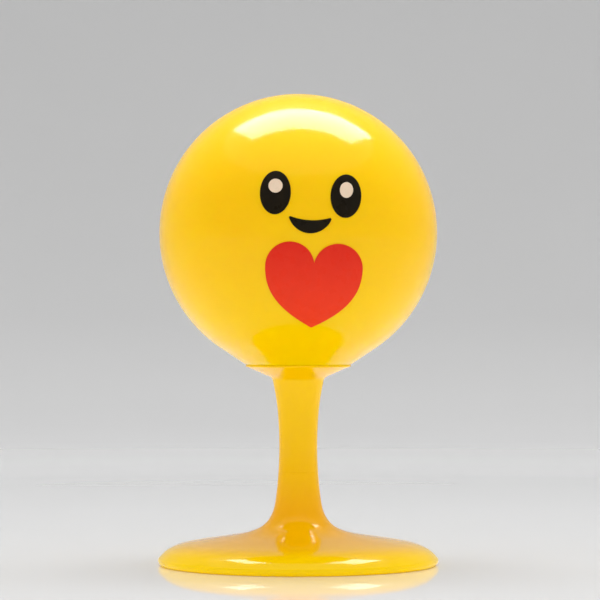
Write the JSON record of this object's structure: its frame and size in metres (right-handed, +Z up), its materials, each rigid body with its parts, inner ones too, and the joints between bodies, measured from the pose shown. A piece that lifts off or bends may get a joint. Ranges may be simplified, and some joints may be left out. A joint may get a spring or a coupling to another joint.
{
  "type": "punching ball toy",
  "caption": "Desk punching ball: a hollow printed ball in a dish on a springy trumpet stem, with a wide suction foot.",
  "frame": {"origin": "middle of the foot's contact plane, on the stem's axis", "axes": "+Z up along the stem, the printed face towards -Y, +X to the right of someone who looks at the face"},
  "size_m": [0.0806, 0.0806, 0.1355],
  "materials": {
    "yellow_moulding": "glossy, slightly translucent soft moulding",
    "yellow_ball": "glossy, slightly translucent soft moulding",
    "clear_plug": "satin",
    "dark_ink": "printed ink, semi-gloss",
    "pale_ink": "printed ink, semi-gloss",
    "red_ink": "printed ink, semi-gloss"
  },
  "bodies": {
    "foot": {"suction_foot": "yellow_moulding"},
    "stem_link_1": {"stem_link_1": "yellow_moulding"},
    "stem_link_2": {"stem_link_2": "yellow_moulding"},
    "stem_link_3": {"stem_link_3": "yellow_moulding"},
    "stem_link_4": {"stem_link_4": "yellow_moulding"},
    "stem_link_5": {"stem_link_5": "yellow_moulding"},
    "stem_link_6": {"stem_link_6": "yellow_moulding"},
    "stem_link_7": {"stem_link_7": "yellow_moulding"},
    "head": {"ball_cradle": "yellow_moulding", "ball_shell": "yellow_ball", "air_plug": "clear_plug", "heart_print": "red_ink", "left_eye_print": "dark_ink", "right_eye_print": "dark_ink", "left_eye_glint": "pale_ink", "right_eye_glint": "pale_ink", "mouth_print": "dark_ink"}
  },
  "joints": [
    {"name": "side_sway", "type": "hinge", "parent": "foot", "child": "stem_link_1", "pos_m": [0, 0, 0.016], "axis": [0, 1, 0], "range_deg": [-10, 10], "stiffness_Nm_per_rad": 0.64},
    {"name": "front_sway", "type": "hinge", "parent": "stem_link_1", "child": "stem_link_2", "pos_m": [0, 0, 0.02029], "axis": [1, 0, 0], "range_deg": [-10, 10], "stiffness_Nm_per_rad": 0.64},
    {"name": "side_sway_2", "type": "hinge", "parent": "stem_link_2", "child": "stem_link_3", "pos_m": [0, 0, 0.02457], "axis": [0, 1, 0], "range_deg": [-10, 10], "stiffness_Nm_per_rad": 0.64},
    {"name": "front_sway_2", "type": "hinge", "parent": "stem_link_3", "child": "stem_link_4", "pos_m": [0, 0, 0.02886], "axis": [1, 0, 0], "range_deg": [-10, 10], "stiffness_Nm_per_rad": 0.64},
    {"name": "side_sway_3", "type": "hinge", "parent": "stem_link_4", "child": "stem_link_5", "pos_m": [0, 0, 0.03314], "axis": [0, 1, 0], "range_deg": [-10, 10], "stiffness_Nm_per_rad": 0.64},
    {"name": "front_sway_3", "type": "hinge", "parent": "stem_link_5", "child": "stem_link_6", "pos_m": [0, 0, 0.03743], "axis": [1, 0, 0], "range_deg": [-10, 10], "stiffness_Nm_per_rad": 0.64},
    {"name": "side_sway_4", "type": "hinge", "parent": "stem_link_6", "child": "stem_link_7", "pos_m": [0, 0, 0.04171], "axis": [0, 1, 0], "range_deg": [-10, 10], "stiffness_Nm_per_rad": 0.64},
    {"name": "front_sway_4", "type": "hinge", "parent": "stem_link_7", "child": "head", "pos_m": [0, 0, 0.046], "axis": [1, 0, 0], "range_deg": [-10, 10], "stiffness_Nm_per_rad": 0.64}
  ],
  "couplings": [
    {"joint": "side_sway_2", "follows": "side_sway", "ratio": 1},
    {"joint": "front_sway_2", "follows": "front_sway", "ratio": 1},
    {"joint": "side_sway_3", "follows": "side_sway", "ratio": 1},
    {"joint": "front_sway_3", "follows": "front_sway", "ratio": 1},
    {"joint": "side_sway_4", "follows": "side_sway", "ratio": 1},
    {"joint": "front_sway_4", "follows": "front_sway", "ratio": 1}
  ]
}
